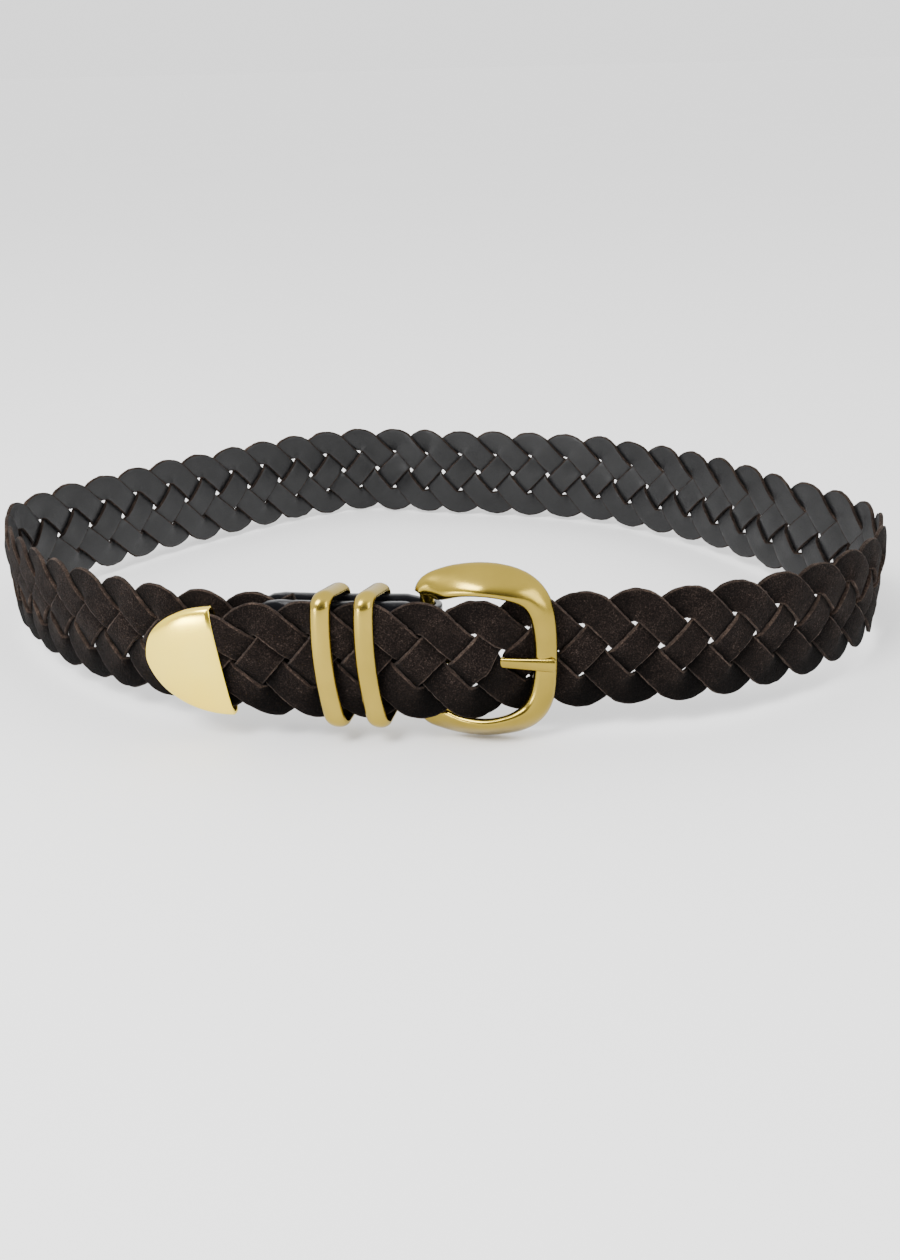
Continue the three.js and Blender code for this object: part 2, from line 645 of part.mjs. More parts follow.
// At rest the belt leans on the buckle's lower arm in front and on the braid's edge behind.
const frameBox = new THREE.Box3().setFromObject(belt.getObjectByName('buckle_frame'), true);
const wholeBox = new THREE.Box3().setFromObject(belt, true);
const drop = -BRAID_HALF_HEIGHT - frameBox.min.z;
const restTilt = Math.atan2(drop, wholeBox.max.y - (frameBox.min.y + frameBox.max.y) / 2);
belt.rotation.x = -restTilt;
belt.updateMatrixWorld(true);
const standing = new THREE.Box3().setFromObject(belt, true);
const centre = standing.getCenter(new THREE.Vector3());
belt.position.set(-centre.x, -centre.y, -standing.min.z);

const root = new THREE.Group();
root.add(belt);

export default root;
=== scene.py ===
import math

import bpy
import numpy as np
from mathutils import Matrix


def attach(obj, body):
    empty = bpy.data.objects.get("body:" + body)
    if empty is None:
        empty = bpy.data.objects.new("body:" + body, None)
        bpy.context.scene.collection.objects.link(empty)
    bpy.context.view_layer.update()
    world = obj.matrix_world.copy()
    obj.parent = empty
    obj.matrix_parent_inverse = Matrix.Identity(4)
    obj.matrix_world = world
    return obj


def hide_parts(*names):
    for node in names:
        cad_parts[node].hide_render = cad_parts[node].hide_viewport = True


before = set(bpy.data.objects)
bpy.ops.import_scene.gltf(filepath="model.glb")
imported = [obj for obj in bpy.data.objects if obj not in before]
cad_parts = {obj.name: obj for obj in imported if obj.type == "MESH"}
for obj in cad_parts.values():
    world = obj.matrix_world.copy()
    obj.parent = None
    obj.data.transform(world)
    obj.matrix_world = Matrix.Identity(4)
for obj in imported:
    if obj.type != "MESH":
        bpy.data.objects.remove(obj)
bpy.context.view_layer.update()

# Sizes in millimetres, on a straight belt: x along the strap to the viewer's right, y towards
# the waist, z over the strap's middle line. They are the same as in the part's source.
MM = 0.001
LOOP_HALF_WIDTH = 155.5
# The loop's middle line: direction in degrees and reach as a share of LOOP_HALF_WIDTH.
LOOP = [
    (270, 0.739), (290, 0.797), (310, 0.929), (330, 1.034), (343, 1.058), (352, 1.019),
    (2, 0.91), (15, 0.836), (30, 0.788), (50, 0.745), (72, 0.696), (88, 0.702),
    (103, 0.779), (118, 0.77), (138, 0.773), (158, 0.844), (180, 0.981), (205, 0.907),
    (230, 0.828), (250, 0.755),
]
STRIP_COUNT = 4
STRIP_WIDTH = 9.6
STRIP_THICKNESS = 1.8
HOLE_WIDTH = 1.66
TURN_INNER_RADIUS = 2.6
STEEPNESS = 1.06
CLEARANCE = 0.3
TAB_THICKNESS = 2
TAB_HALF_HEIGHT = 17.2
TAB_LENGTH = 53.5
TAB_HOLDS_BRAID = 16
TAB_HEEL_SHARE = 0.87
HEEL_BAR_X = 2.5
HEEL_BAR_RADIUS = 2.2
FRAME_LENGTH = 35.3
FRAME_RISE = 23.2
FRAME_LIFT = 0.6
FRONT_BAR_DEPTH = 5.5
ARM_WIDTH = 9.8
DIP_START = 0.3
PRONG_Z = -1.7
PRONG_WIDTH = 4.4
PRONG_EYE_WALL = 1.9
PRONG_THICKNESS = 2.6
PRONG_SEAT_DEPTH = 1.6
PRONG_HOLE_X = 24.5
KEEPER_X = [-26.1, -13.7]
KEEPER_WIDTH = 5.9
KEEPER_THICKNESS = 2.3
KEEPER_ROOM_Z = 0.7
KEEPER_ROOM_Y = 0.4
KEEPER_FRONT_CORNER = 2.4
KEEPER_BACK_CORNER = 1.2
KEEPER_LEAN = 4
KEEPER_SKEW = 0.2
CAP_MOUTH_X = -58.2
CAP_LENGTH = 22.4
CAP_HALF_HEIGHT = 17.2
CAP_WALL = 1
CAP_NOSE_SHARE = 0.4
DROOP_START_X = -5
DROOP_SLOPE_AT_CAP = 0.04
LEAN_START_X = -3
LEAN_AT_CAP = 0.16
SPRING_START_X = -27
FREE_END_SPRINGS_OUT = 2.8
PUSH_HEIGHT = 1.9
PUSH_REACH = 5.5
BULGE = 2.4

PITCH = math.sqrt(2) * (STRIP_WIDTH + HOLE_WIDTH)
TURN_RADIUS = STRIP_WIDTH / 2 + TURN_INNER_RADIUS
TURN_CENTRE_Z = PITCH - math.sqrt(2) * TURN_RADIUS
BRAID_HALF_HEIGHT = STEEPNESS * (TURN_CENTRE_Z + TURN_RADIUS + STRIP_WIDTH / 2)
LAYER_OFFSET = (STRIP_THICKNESS + CLEARANCE) / 2
BRAID_HALF_THICKNESS = LAYER_OFFSET + STRIP_THICKNESS / 2
TAB_LAYER_Y = max(BRAID_HALF_THICKNESS, HEEL_BAR_RADIUS) + CLEARANCE + TAB_THICKNESS / 2
OVERLAP_OFFSET = TAB_LAYER_Y + TAB_THICKNESS / 2 + 2 * CLEARANCE + BRAID_HALF_THICKNESS
FRONT_BAR_X = HEEL_BAR_X + FRAME_LENGTH
FRONT_BAR_OUT = BRAID_HALF_THICKNESS + CLEARANCE + FRONT_BAR_DEPTH / 2
CAP_HALF_THICKNESS = BRAID_HALF_THICKNESS + CLEARANCE + CAP_WALL
DROOP = DROOP_SLOPE_AT_CAP / (2 * (DROOP_START_X - CAP_MOUTH_X))
CAP_MOUTH_HALF_HEIGHT = CAP_HALF_HEIGHT - CAP_WALL - CLEARANCE

# How the finished belt stands on the floor.
REST_TILT = math.radians(-1.9546)
REST_PLACE = np.array([-3.091, 2.938, 22.880])


def place(points):
    """From the belt's own frame to the row frame, in metres."""
    p = np.asarray(points, float)
    c, s = math.cos(REST_TILT), math.sin(REST_TILT)
    y = p[..., 1] * c - p[..., 2] * s
    z = p[..., 1] * s + p[..., 2] * c
    return (np.stack([p[..., 0], y, z], -1) + REST_PLACE) * MM


# The camera, fitted to the photo in the belt's own frame.
CAMERA_PLACE = (9.0, -499.5, 150.6)
CAMERA_PITCH = math.radians(90 - 20.516)
CAMERA_ROLL = math.radians(-1.454)
CAMERA_LENS = 39.15
CAMERA_SENSOR = 36
camera_data = bpy.data.cameras.new("camera")
camera_data.sensor_width = CAMERA_SENSOR
camera_data.lens = CAMERA_LENS
camera_data.clip_start = 0.01
camera = bpy.data.objects.new("camera", camera_data)
bpy.context.collection.objects.link(camera)
camera.matrix_world = (
    Matrix.Translation([c * MM for c in REST_PLACE])
    @ Matrix.Rotation(REST_TILT, 4, "X")
    @ Matrix.Translation([c * MM for c in CAMERA_PLACE])
    @ Matrix.Rotation(CAMERA_PITCH, 4, "X")
    @ Matrix.Rotation(CAMERA_ROLL, 4, "Z")
)
bpy.context.scene.camera = camera


def loop_table(steps=500):
    """Dense tables of the lengths along the loop, its points and its unit tangents."""
    angle = np.radians([a for a, _ in LOOP])
    reach = LOOP_HALF_WIDTH * np.array([r for _, r in LOOP])
    knots = np.stack([reach * np.cos(angle), reach * np.sin(angle)], 1)
    points = []
    for i in range(len(knots)):
        p0, p1, p2, p3 = (knots[(i + k) % len(knots)] for k in (-1, 0, 1, 2))
        d0, d1, d2 = (math.sqrt(np.linalg.norm(b - a)) for a, b in ((p0, p1), (p1, p2), (p2, p3)))
        t1 = ((p1 - p0) / d0 - (p2 - p0) / (d0 + d1) + (p2 - p1) / d1) * d1
        t2 = ((p2 - p1) / d1 - (p3 - p1) / (d1 + d2) + (p3 - p2) / d2) * d1
        t = (np.arange(steps) / steps)[:, None]
        points.append(p1 + t1 * t + (-3 * p1 + 3 * p2 - 2 * t1 - t2) * t**2
                      + (2 * p1 - 2 * p2 + t1 + t2) * t**3)
    points = np.concatenate(points)
    closed = np.concatenate([points, points[:1]])
    length = np.concatenate([[0], np.cumsum(np.linalg.norm(np.diff(closed, axis=0), axis=1))])
    tangent = np.roll(points, -1, 0) - np.roll(points, 1, 0)
    tangent /= np.linalg.norm(tangent, axis=1)[:, None]
    return length, closed, np.concatenate([tangent, tangent[:1]])


LENGTHS, LOOP_POINTS, LOOP_TANGENTS = loop_table()
LOOP_LENGTH = LENGTHS[-1]
STRAP_END_X = LOOP_LENGTH + HEEL_BAR_X - TAB_LENGTH + TAB_HOLDS_BRAID


def smooth(t):
    """From 0 to 1 with level ends."""
    t = np.clip(t, 0, 1)
    return t * t * (3 - 2 * t)


def ramp(x, start, end):
    """From 0 at start to 1 at end."""
    return smooth((np.asarray(x, float) - start) / (end - start))


def wrap(p):
    """From the straight belt to the loop."""
    p = np.asarray(p, float)
    along = np.mod(p[..., 0], LOOP_LENGTH)
    point = [np.interp(along, LENGTHS, LOOP_POINTS[:, k]) for k in (0, 1)]
    tangent = [np.interp(along, LENGTHS, LOOP_TANGENTS[:, k]) for k in (0, 1)]
    return np.stack([
        point[0] - tangent[1] * p[..., 1],
        point[1] + tangent[0] * p[..., 1],
        p[..., 2],
    ], -1)


def strap_offset(x):
    """How far out the free strap lies: over the tab, dipping through the frame, sprung at its end."""
    sprung = FREE_END_SPRINGS_OUT * ramp(-x, -SPRING_START_X, CAP_LENGTH - CAP_MOUTH_X)
    dip = 1 - ramp(x, HEEL_BAR_X + DIP_START * FRAME_LENGTH, FRONT_BAR_X)
    return OVERLAP_OFFSET * dip + sprung


def narrowing(x):
    """The share of its height that the braid keeps where it goes into the cap."""
    pressed = ramp(-x, -CAP_MOUTH_X - PITCH, -CAP_MOUTH_X)
    return 1 - (1 - CAP_MOUTH_HALF_HEIGHT / BRAID_HALF_HEIGHT) * pressed


def wrap_on_strap(p, narrowed=True):
    """A point of the free strap, or of what is on it, from the straight belt to the loop."""
    x, y, z = np.moveaxis(np.asarray(p, float), -1, 0)
    bent = np.clip(DROOP_START_X - x, 0, DROOP_START_X - CAP_MOUTH_X)
    fall = -DROOP * bent**2 - DROOP_SLOPE_AT_CAP * np.clip(CAP_MOUTH_X - x, 0, None)
    lean = LEAN_AT_CAP * np.clip((LEAN_START_X - x) / (LEAN_START_X - CAP_MOUTH_X), 0, 1)
    height = z * narrowing(x) if narrowed else z
    start = x - PRONG_HOLE_X
    over = height - PRONG_Z
    near = np.exp(-((start / PUSH_REACH) ** 2) - (over / PUSH_REACH) ** 2)
    inward = y - strap_offset(x) + BULGE * np.tanh(start / (PUSH_REACH / 2)) * near
    pushed = height + PUSH_HEIGHT * np.tanh(over) * near
    return wrap(np.stack([x - lean * height, inward, fall + pushed], -1))


def mesh_object(name, points, faces, materials, face_material=None, sharp=None):
    """A named object from points of the belt's own frame."""
    mesh = bpy.data.meshes.new(name)
    mesh.from_pydata(place(points).tolist(), [], [list(map(int, f)) for f in faces])
    for material in materials:
        mesh.materials.append(material)
    if face_material is not None:
        mesh.polygons.foreach_set("material_index", np.asarray(face_material, np.int32))
    mesh.polygons.foreach_set("use_smooth", np.ones(len(mesh.polygons), bool))
    mesh.update()
    mesh.validate()
    if sharp:
        mesh.set_sharp_from_angle(angle=math.radians(sharp))
    piece = bpy.data.objects.new(name, mesh)
    bpy.context.collection.objects.link(piece)
    return piece


def ring_faces(rings, points, closed=False):
    """Faces of a loft through rings of equal size whose points follow each other."""
    faces = []
    spans = rings if closed else rings - 1
    for i in range(spans):
        a, b = i * points, ((i + 1) % rings) * points
        for j in range(points):
            after = (j + 1) % points
            faces.append((a + j, a + after, b + after, b + j))
    if not closed:
        faces.append(list(range(points))[::-1])
        faces.append([(rings - 1) * points + j for j in range(points)])
    return faces


class Nodes:
    """A short way to write a material's nodes."""

    def __init__(self, name):
        self.material = bpy.data.materials.new(name)
        self.material.use_nodes = True
        self.tree = self.material.node_tree
        self.shader = self.tree.nodes["Principled BSDF"]
        self.where = self.add("ShaderNodeTexCoord").outputs["Object"]

    def add(self, kind, **values):
        node = self.tree.nodes.new(kind)
        for key, value in values.items():
            setattr(node, key, value)
        return node

    def link(self, source, target):
        self.tree.links.new(source, target)

    def noise(self, scale, detail, roughness=0.55, stretch=None):
        node = self.add("ShaderNodeTexNoise")
        node.inputs["Scale"].default_value = scale
        node.inputs["Detail"].default_value = detail
        node.inputs["Roughness"].default_value = roughness
        source = self.where
        if stretch:
            mapping = self.add("ShaderNodeMapping")
            mapping.inputs["Scale"].default_value = stretch
            self.link(source, mapping.inputs["Vector"])
            source = mapping.outputs["Vector"]
        self.link(source, node.inputs["Vector"])
        return node.outputs["Fac"]

    def cells(self, scale):
        node = self.add("ShaderNodeTexVoronoi")
        node.inputs["Scale"].default_value = scale
        self.link(self.where, node.inputs["Vector"])
        return node.outputs["Distance"]

    def colours(self, value, stops):
        node = self.add("ShaderNodeValToRGB")
        while len(node.color_ramp.elements) < len(stops):
            node.color_ramp.elements.new(0.5)
        for element, (at, colour) in zip(node.color_ramp.elements, stops):
            element.position = at
            element.color = (*colour, 1)
        self.link(value, node.inputs["Fac"])
        return node.outputs["Color"]

    def mixed(self, first, first_share, second, second_share):
        """The sum of two values, each times its share."""
        total = self.add("ShaderNodeMath", operation="ADD")
        for socket, value, share in ((0, first, first_share), (1, second, second_share)):
            scaled = self.add("ShaderNodeMath", operation="MULTIPLY")
            self.link(value, scaled.inputs[0])
            scaled.inputs[1].default_value = share
            self.link(scaled.outputs["Value"], total.inputs[socket])
        return total.outputs["Value"]

    def spread(self, value, low, high):
        node = self.add("ShaderNodeMapRange")
        node.inputs["To Min"].default_value = low
        node.inputs["To Max"].default_value = high
        self.link(value, node.inputs["Value"])
        return node.outputs["Result"]

    def bump(self, height, strength, distance):
        node = self.add("ShaderNodeBump")
        node.inputs["Strength"].default_value = strength
        node.inputs["Distance"].default_value = distance
        self.link(height, node.inputs["Height"])
        self.link(node.outputs["Normal"], self.shader.inputs["Normal"])

    def with_painted_shade(self, colour, low):
        """Painted shade: the colour, darkened down to the share low where a strip dives under another.
        """
        share = self.add("ShaderNodeAttribute", attribute_name="lift").outputs["Fac"]
        node = self.add("ShaderNodeVectorMath", operation="SCALE")
        self.link(colour, node.inputs[0])
        self.link(self.spread(share, low, 1), node.inputs["Scale"])
        return node.outputs["Vector"]

    def colour(self, output):
        self.link(output, self.shader.inputs["Base Color"])

    def rough(self, output):
        self.link(output, self.shader.inputs["Roughness"])

    def set(self, **values):
        for key, value in values.items():
            self.shader.inputs[key.replace("_", " ")].default_value = value


def suede():
    """Dark brown nap with lighter fibre tips, darkened by painted shade where a strip dives under
    another.
    """
    m = Nodes("suede")
    nap = m.noise(2300, 3, 0.75)
    colour = m.colours(m.mixed(nap, 0.78, m.noise(170, 5, 0.65), 0.22), [
        (0.36, (0.0022, 0.0015, 0.0013)), (0.5, (0.0072, 0.005, 0.0042)),
        (0.6, (0.021, 0.0147, 0.012)), (0.7, (0.09, 0.065, 0.053)),
    ])
    # Painted shade: the suede darkens where the strip dives under another.
    m.colour(m.with_painted_shade(colour, 0.15))
    m.set(Roughness=0.95, Sheen_Weight=0.02, Sheen_Roughness=0.45, Specular_IOR_Level=0.05)
    m.bump(m.mixed(nap, 1, m.noise(800, 3, 0.6), 0.9), 0.9, 0.0005)
    return m.material


def raw_edge():
    """The cut edge of a strip, with loose fibres, darkened by painted shade where the strip dives
    under another.
    """
    m = Nodes("raw_edge")
    fibre = m.noise(1900, 4, 0.7)
    colour = m.colours(m.mixed(fibre, 0.6, m.noise(260, 3, 0.6), 0.4), [
        (0.36, (0.009, 0.006, 0.0047)), (0.52, (0.032, 0.0215, 0.0165)),
        (0.7, (0.10, 0.07, 0.053)),
    ])
    # Painted shade: the raw edge darkens where the strip dives under another.
    m.colour(m.with_painted_shade(colour, 0.4))
    m.set(Roughness=0.97, Sheen_Weight=0.03, Sheen_Roughness=0.5, Specular_IOR_Level=0.08)
    m.bump(fibre, 0.9, 0.0005)
    return m.material


def smooth_leather(name, dark, light, rough, coat):
    """Grained leather with a thin finish."""
    m = Nodes(name)
    crease = m.noise(420, 4, 0.6)
    m.colour(m.colours(m.noise(60, 3, 0.5), [(0.3, dark), (0.7, light)]))
    m.rough(m.spread(crease, rough - 0.06, rough + 0.08))
    m.set(Specular_IOR_Level=0.38, Coat_Weight=coat, Coat_Roughness=0.25)
    m.bump(m.mixed(m.cells(1500), 1, crease, 0.9), 0.35, 0.00012)
    return m.material


def brass(name, dark, light):
    """Satin brass, a little uneven in colour."""
    m = Nodes(name)
    brushed = m.noise(1, 3, 0.6, stretch=(260, 2600, 260))
    m.colour(m.colours(m.noise(55, 3, 0.5), [(0.3, dark), (0.7, light)]))
    m.rough(m.spread(brushed, 0.17, 0.27))
    m.set(Metallic=1)
    m.bump(brushed, 0.12, 0.00006)
    return m.material


SUEDE = suede()
RAW_EDGE = raw_edge()
INSIDE = smooth_leather("strip_inside", (0.0025, 0.0025, 0.0028), (0.0065, 0.0065, 0.0071), 0.48, 0.03)
TAB_LEATHER = smooth_leather("tab_leather", (0.006, 0.006, 0.0075), (0.011, 0.011, 0.0135), 0.3, 0.4)
FRAME_BRASS = brass("frame_brass", (0.27, 0.195, 0.033), (0.34, 0.248, 0.043))
KEEPER_BRASS = brass("keeper_brass", (0.33, 0.24, 0.041), (0.41, 0.30, 0.055))
CAP_BRASS = brass("cap_brass", (0.98, 0.72, 0.075), (1.0, 0.76, 0.11))

# The braid. One strip's middle line repeats every four pitches. Its parts are the top turn, the
# way down, the bottom turn and the way up.
TURN_SPAN = TURN_RADIUS * math.pi / 2
STRAIGHT = math.sqrt(2) * (2 * PITCH - math.sqrt(2) * TURN_RADIUS)
PERIOD = 2 * (TURN_SPAN + STRAIGHT)
STEP = 0.62
COLUMNS = 9
SECTIONS = int(round(PERIOD / STEP))
LOOK_THICKNESS = 1.7
EDGE_THINNING = 0.22


def strip_line(s):
    """Middle point and upward edge direction of a strip at length s from its top turn's middle."""
    s = np.mod(np.asarray(s, float), PERIOD)
    x, z = np.zeros_like(s), np.zeros_like(s)
    ex, ez = np.zeros_like(s), np.zeros_like(s)
    half = TURN_SPAN / 2
    corner = TURN_RADIUS / math.sqrt(2)
    for wrapped in (0, -PERIOD):
        t = s + wrapped
        on = (t >= -half) & (t < half)
        a = t / TURN_RADIUS
        x = np.where(on, TURN_RADIUS * np.sin(a) - wrapped / PERIOD * 4 * PITCH, x)
        z = np.where(on, TURN_CENTRE_Z + TURN_RADIUS * np.cos(a), z)
        ex, ez = np.where(on, np.sin(a), ex), np.where(on, np.cos(a), ez)
    on = (s >= half) & (s < half + STRAIGHT)
    t = (s - half) / math.sqrt(2)
    x = np.where(on, corner + t, x)
    z = np.where(on, TURN_CENTRE_Z + corner - t, z)
    ex, ez = np.where(on, math.sqrt(0.5), ex), np.where(on, math.sqrt(0.5), ez)
    middle = half + STRAIGHT + half
    on = (s >= middle - half) & (s < middle + half)
    a = (s - middle) / TURN_RADIUS
    x = np.where(on, 2 * PITCH + TURN_RADIUS * np.sin(a), x)
    z = np.where(on, -TURN_CENTRE_Z - TURN_RADIUS * np.cos(a), z)
    ex, ez = np.where(on, -np.sin(a), ex), np.where(on, np.cos(a), ez)
    on = (s >= middle + half) & (s < PERIOD - half)
    t = (s - middle - half) / math.sqrt(2)
    x = np.where(on, 2 * PITCH + corner + t, x)
    z = np.where(on, -TURN_CENTRE_Z - corner + t, z)
    ex, ez = np.where(on, -math.sqrt(0.5), ex), np.where(on, math.sqrt(0.5), ez)
    return x, z, ex, ez


def strip_at(x, z):
    """Where a point of the braid lies on a strip: length, distance across, and whether it does."""
    x = np.mod(x + PITCH * 0.5, 4 * PITCH) - PITCH * 0.5
    x = np.where(x > 3.3 * PITCH, x - 4 * PITCH, x)
    half = TURN_SPAN / 2
    corner = TURN_RADIUS / math.sqrt(2)
    reach = STRIP_WIDTH / 2
    length, across = np.zeros_like(x), np.zeros_like(x)
    found = np.zeros(x.shape, bool)

    def take(on, s, c):
        nonlocal length, across, found
        on = on & ~found & (np.abs(c) <= reach)
        length, across = np.where(on, s, length), np.where(on, c, across)
        found = found | on

    for up, centre, start in ((1, 0, 0), (-1, 2 * PITCH, half + STRAIGHT + half)):
        for shift in (0, 4 * PITCH, -4 * PITCH):
            dx, dz = x - centre - shift, up * z - TURN_CENTRE_Z
            angle = np.arctan2(dx, dz)
            take(np.abs(angle) <= math.pi / 4, start + angle * TURN_RADIUS,
                 up * (np.hypot(dx, dz) - TURN_RADIUS))
    for shift in (0, 4 * PITCH, -4 * PITCH):
        dx, dz = x - shift - corner, z - TURN_CENTRE_Z - corner
        along = (dx - dz) / math.sqrt(2)
        take((along >= 0) & (along <= STRAIGHT), half + along, (dx + dz) / math.sqrt(2))
        dx, dz = x - shift - 2 * PITCH - corner, z + TURN_CENTRE_Z + corner
        along = (dx + dz) / math.sqrt(2)
        take((along >= 0) & (along <= STRAIGHT), 3 * half + STRAIGHT + along, (dz - dx) / math.sqrt(2))
    return np.mod(length, PERIOD), across, found


def side_of(s):
    """1 where a strip lies over its neighbour and -1 where it lies under it."""
    down = np.mod(s, PERIOD) < PERIOD / 2
    middle = np.abs(strip_line(s)[1]) < PITCH / 4
    return np.where(down ^ middle, 1.0, -1.0)


def thickness_at(c):
    """A strip's thickness at the distance c from its middle line."""
    return LOOK_THICKNESS * (1 - EDGE_THINNING * np.abs(2 * c / STRIP_WIDTH) ** 4)


# How the strips' heights are found: turns of drawing tight, then turns of pushing apart alone.
DRAWN_TURNS = 400
PUSHED_TURNS = 20
SOLVED_SHARE = 0.94
STRIP_GAP = 0.05
# Shares of a height in its next value: its own, each neighbour along the strip, each one three
# sections away and each neighbour across.
OWN_SHARE, ALONG_SHARE, WIDE_SHARE, ACROSS_SHARE = 0.3, 0.14, 0.09, 0.12


def braid_heights():
    """How far each point of a strip stands out of the braid's middle, over one period.

    The strips are drawn tight and pushed apart where they cross, until both agree.
    """
    s = np.arange(SECTIONS) * PERIOD / SECTIONS
    solved_width = STRIP_WIDTH * SOLVED_SHARE
    c = np.linspace(-0.5, 0.5, COLUMNS) * solved_width
    x, z, ex, ez = strip_line(s)
    px, pz = x[:, None] + ex[:, None] * c, z[:, None] + ez[:, None] * c
    side = side_of(s)[:, None] + 0 * c
    pairs = []
    for k in (1, 2, 3):
        length, across, found = strip_at(px - k * PITCH, pz)
        si = length / PERIOD * SECTIONS
        ci = np.clip((across / solved_width + 0.5) * (COLUMNS - 1), 0, COLUMNS - 1.001)
        s0, c0 = np.floor(si).astype(int), np.floor(ci).astype(int)
        fs, fc = si - s0, ci - c0
        need = (thickness_at(c)[None, :] + thickness_at(across)) / 2 + STRIP_GAP
        pairs.append((found, s0 % SECTIONS, (s0 + 1) % SECTIONS, c0, fs, fc, need))
    h = side * 0.5 * LOOK_THICKNESS
    for turn in range(DRAWN_TURNS + PUSHED_TURNS):
        if turn < DRAWN_TURNS:
            along = np.roll(h, 1, 0) + np.roll(h, -1, 0)
            wide = np.roll(h, 3, 0) + np.roll(h, -3, 0)
            padded = np.concatenate([2 * h[:, :1] - h[:, 1:2], h, 2 * h[:, -1:] - h[:, -2:-1]], 1)
            across = padded[:, :-2] + padded[:, 2:]
            h = OWN_SHARE * h + ALONG_SHARE * along + WIDE_SHARE * wide + ACROSS_SHARE * across
        for found, s0, s1, c0, fs, fc, need in pairs:
            other = ((1 - fs) * ((1 - fc) * h[s0, c0] + fc * h[s0, c0 + 1])
                     + fs * ((1 - fc) * h[s1, c0] + fc * h[s1, c0 + 1]))
            lack = np.clip(need - side * (h - other), 0, None)
            h = h + np.where(found, side * lack * 0.5, 0)
    return h


HEIGHTS = braid_heights()

# The braid's unevenness: the waves' lengths, what their sum is divided by, and how far the lobes
# move along the strap, out of it and up. The seeds choose three waves.
WOBBLE_WAVELENGTHS = (41, 67, 113, 29)
WOBBLE_DIVISOR = 2.4
WOBBLE_ALONG, WOBBLE_OUT, WOBBLE_UP = 0.28, 0.22, 0.3
SEED_ALONG, SEED_OUT, SEED_UP = 3, 5, 7
WOBBLE_SLANT = 0.6
WOBBLE_TURN = 0.3
# The raw edges' small steps.
GRIT = 0.13
GRIT_COLUMNS = 12
GRIT_SEED = 100
# Where the top turn of the first strip lies, half a pitch from the prong.
TOP_TURN_X = PRONG_HOLE_X - PITCH / 2
CORNER = 0.38
HIDDEN_IN_CAP = 7


def wobble(x, seed):
    """A slow, uneven wave along the strap, mostly between -1 and 1."""
    rng = np.random.default_rng(seed)
    total = 0
    for wavelength in WOBBLE_WAVELENGTHS:
        total = total + np.sin(2 * math.pi * x / wavelength + rng.uniform(0, 2 * math.pi))
    return total / WOBBLE_DIVISOR


def grit(shape, seed):
    """Small uneven steps for raw edges, smoothed a little along the strip."""
    rng = np.random.default_rng(seed)
    raw = rng.normal(size=shape)
    return (np.roll(raw, 1, 0) + 2 * raw + np.roll(raw, -1, 0)) / 3


def strip_surface(index):
    """A grid of points on a strip's middle surface, and their distances from its middle line."""
    start = CAP_MOUTH_X - TOP_TURN_X - index * PITCH
    end = STRAP_END_X - TOP_TURN_X - index * PITCH
    first = math.floor(start / (4 * PITCH)) - 1
    last = math.ceil(end / (4 * PITCH)) + 1
    count = (last - first) * SECTIONS
    i = np.arange(count)
    s = (i % SECTIONS) * PERIOD / SECTIONS
    x, z, ex, ez = strip_line(s)
    x = x + (first + i // SECTIONS) * 4 * PITCH + TOP_TURN_X + index * PITCH
    keep = (x > CAP_MOUTH_X - HIDDEN_IN_CAP) & (x < STRAP_END_X - 1)
    c = np.linspace(-0.5, 0.5, COLUMNS) * (STRIP_WIDTH - 2 * CORNER)
    heights = HEIGHTS[i % SECTIONS]
    px = x[:, None] + ex[:, None] * c
    pz = z[:, None] + ez[:, None] * c
    return np.stack([px, -heights, STEEPNESS * pz], -1)[keep], c


def uneven(p):
    """Small differences from lobe to lobe, the same for strips that touch."""
    x, y, z = np.moveaxis(p, -1, 0)
    return np.stack([
        x + WOBBLE_ALONG * wobble(x, SEED_ALONG) * (1 + WOBBLE_TURN * z / BRAID_HALF_HEIGHT),
        y + WOBBLE_OUT * wobble(x + WOBBLE_SLANT * z, SEED_OUT),
        z + WOBBLE_UP * wobble(x, SEED_UP) * np.abs(z) / BRAID_HALF_HEIGHT,
    ], -1)


# A raw edge's section: shares of CORNER outwards and of the half thickness up.
EDGE_SPOTS = [(0.62, 0.86), (1, 0.45), (1.05, 0), (1, -0.45), (0.62, -0.86)]


# Painted shade on the suede and raw edges: colour kept on a strip's crown, darkened where it lies deep
# under another.
CROWN_HEIGHT = 0.75 * LOOK_THICKNESS
PAINTED_SHADE_MIDDLE = 0.35


def painted_shade_factor(crown):
    """The share of colour that the painted shade leaves: 1 on a strip's crown and 0 where it lies deep
    under another.
    """
    return smooth(PAINTED_SHADE_MIDDLE + (1 - PAINTED_SHADE_MIDDLE) * crown)


